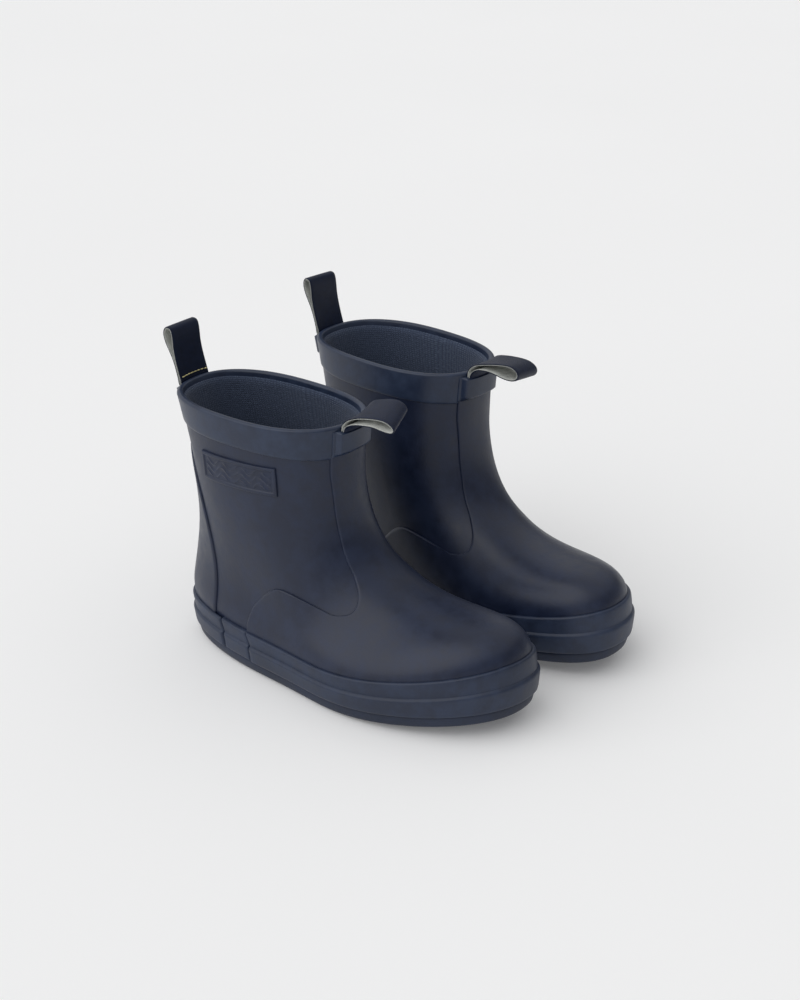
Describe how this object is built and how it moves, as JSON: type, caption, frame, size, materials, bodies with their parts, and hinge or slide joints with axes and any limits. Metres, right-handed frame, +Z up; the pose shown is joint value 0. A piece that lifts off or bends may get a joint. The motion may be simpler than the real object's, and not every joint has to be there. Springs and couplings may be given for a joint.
{
  "type": "deck boots",
  "caption": "Pair of short rubber deck boots with a wrapped vamp, stepped rubber foxing, grooved soles and a webbing pull loop at the front and back of each rim.",
  "frame": {"origin": "centre of the pair's footprint, on the ground", "axes": "+Z up, toes towards -Y, the wearer's right boot at -X and the left boot at +X"},
  "size_m": [0.155, 0.1934, 0.1433],
  "materials": {
    "upper_rubber": "matte natural rubber with a soft sheen",
    "foxing_rubber": "matte rubber",
    "sole_rubber": "matte rubber",
    "midsole_foam": "matte foam rubber",
    "insole_fibreboard": "matte fibreboard",
    "footbed_felt": "felt",
    "knit_lining": "fine cotton knit",
    "coated_webbing": "satin coated navy outside, pale cream inside"
  },
  "bodies": {
    "right_boot": {"right_outsole": "sole_rubber", "right_midsole": "midsole_foam", "right_insole_board": "insole_fibreboard", "right_footbed": "footbed_felt", "right_lining": "knit_lining", "right_upper_shell": "upper_rubber", "right_collar_band": "upper_rubber", "right_vamp_overlay": "upper_rubber", "right_heel_counter": "upper_rubber", "right_front_foxing": "foxing_rubber", "right_inner_waist_foxing": "foxing_rubber", "right_outer_waist_foxing": "foxing_rubber", "right_heel_foxing": "foxing_rubber", "right_front_loop_tail": "coated_webbing", "right_rear_loop_tail": "coated_webbing", "right_front_loop_patch": "upper_rubber", "right_rear_loop_patch": "upper_rubber", "right_badge": "upper_rubber"},
    "right_front_loop_strap": {"right_front_loop": "coated_webbing"},
    "right_rear_loop_strap": {"right_rear_loop": "coated_webbing"},
    "left_boot": {"left_outsole": "sole_rubber", "left_midsole": "midsole_foam", "left_insole_board": "insole_fibreboard", "left_footbed": "footbed_felt", "left_lining": "knit_lining", "left_upper_shell": "upper_rubber", "left_collar_band": "upper_rubber", "left_vamp_overlay": "upper_rubber", "left_heel_counter": "upper_rubber", "left_front_foxing": "foxing_rubber", "left_inner_waist_foxing": "foxing_rubber", "left_outer_waist_foxing": "foxing_rubber", "left_heel_foxing": "foxing_rubber", "left_front_loop_tail": "coated_webbing", "left_rear_loop_tail": "coated_webbing", "left_front_loop_patch": "upper_rubber", "left_rear_loop_patch": "upper_rubber", "left_badge": "upper_rubber"},
    "left_front_loop_strap": {"left_front_loop": "coated_webbing"},
    "left_rear_loop_strap": {"left_rear_loop": "coated_webbing"}
  },
  "joints": [
    {"name": "right_front_loop_flex", "type": "hinge", "parent": "right_boot", "child": "right_front_loop_strap", "pos_m": [-0.04035, -0.00644, 0.11928], "axis": [-1, 0, 0], "range_deg": [-35, 110], "stiffness_Nm_per_rad": 0.02},
    {"name": "right_rear_loop_flex", "type": "hinge", "parent": "right_boot", "child": "right_rear_loop_strap", "pos_m": [-0.04035, 0.08846, 0.11731], "axis": [1, 0, 0], "range_deg": [-70, 75], "stiffness_Nm_per_rad": 0.02},
    {"name": "left_front_loop_flex", "type": "hinge", "parent": "left_boot", "child": "left_front_loop_strap", "pos_m": [0.04174, -0.01144, 0.11928], "axis": [-0.9981, 0.061, 0], "range_deg": [-35, 110], "stiffness_Nm_per_rad": 0.02},
    {"name": "left_rear_loop_flex", "type": "hinge", "parent": "left_boot", "child": "left_rear_loop_strap", "pos_m": [0.04753, 0.08328, 0.11731], "axis": [0.9981, -0.061, 0], "range_deg": [-70, 75], "stiffness_Nm_per_rad": 0.02},
    {"name": "left_boot_pick_up", "type": "slide", "parent": "right_boot", "child": "left_boot", "axis": [0, 0, 1], "range_m": [0, 0.25]}
  ]
}
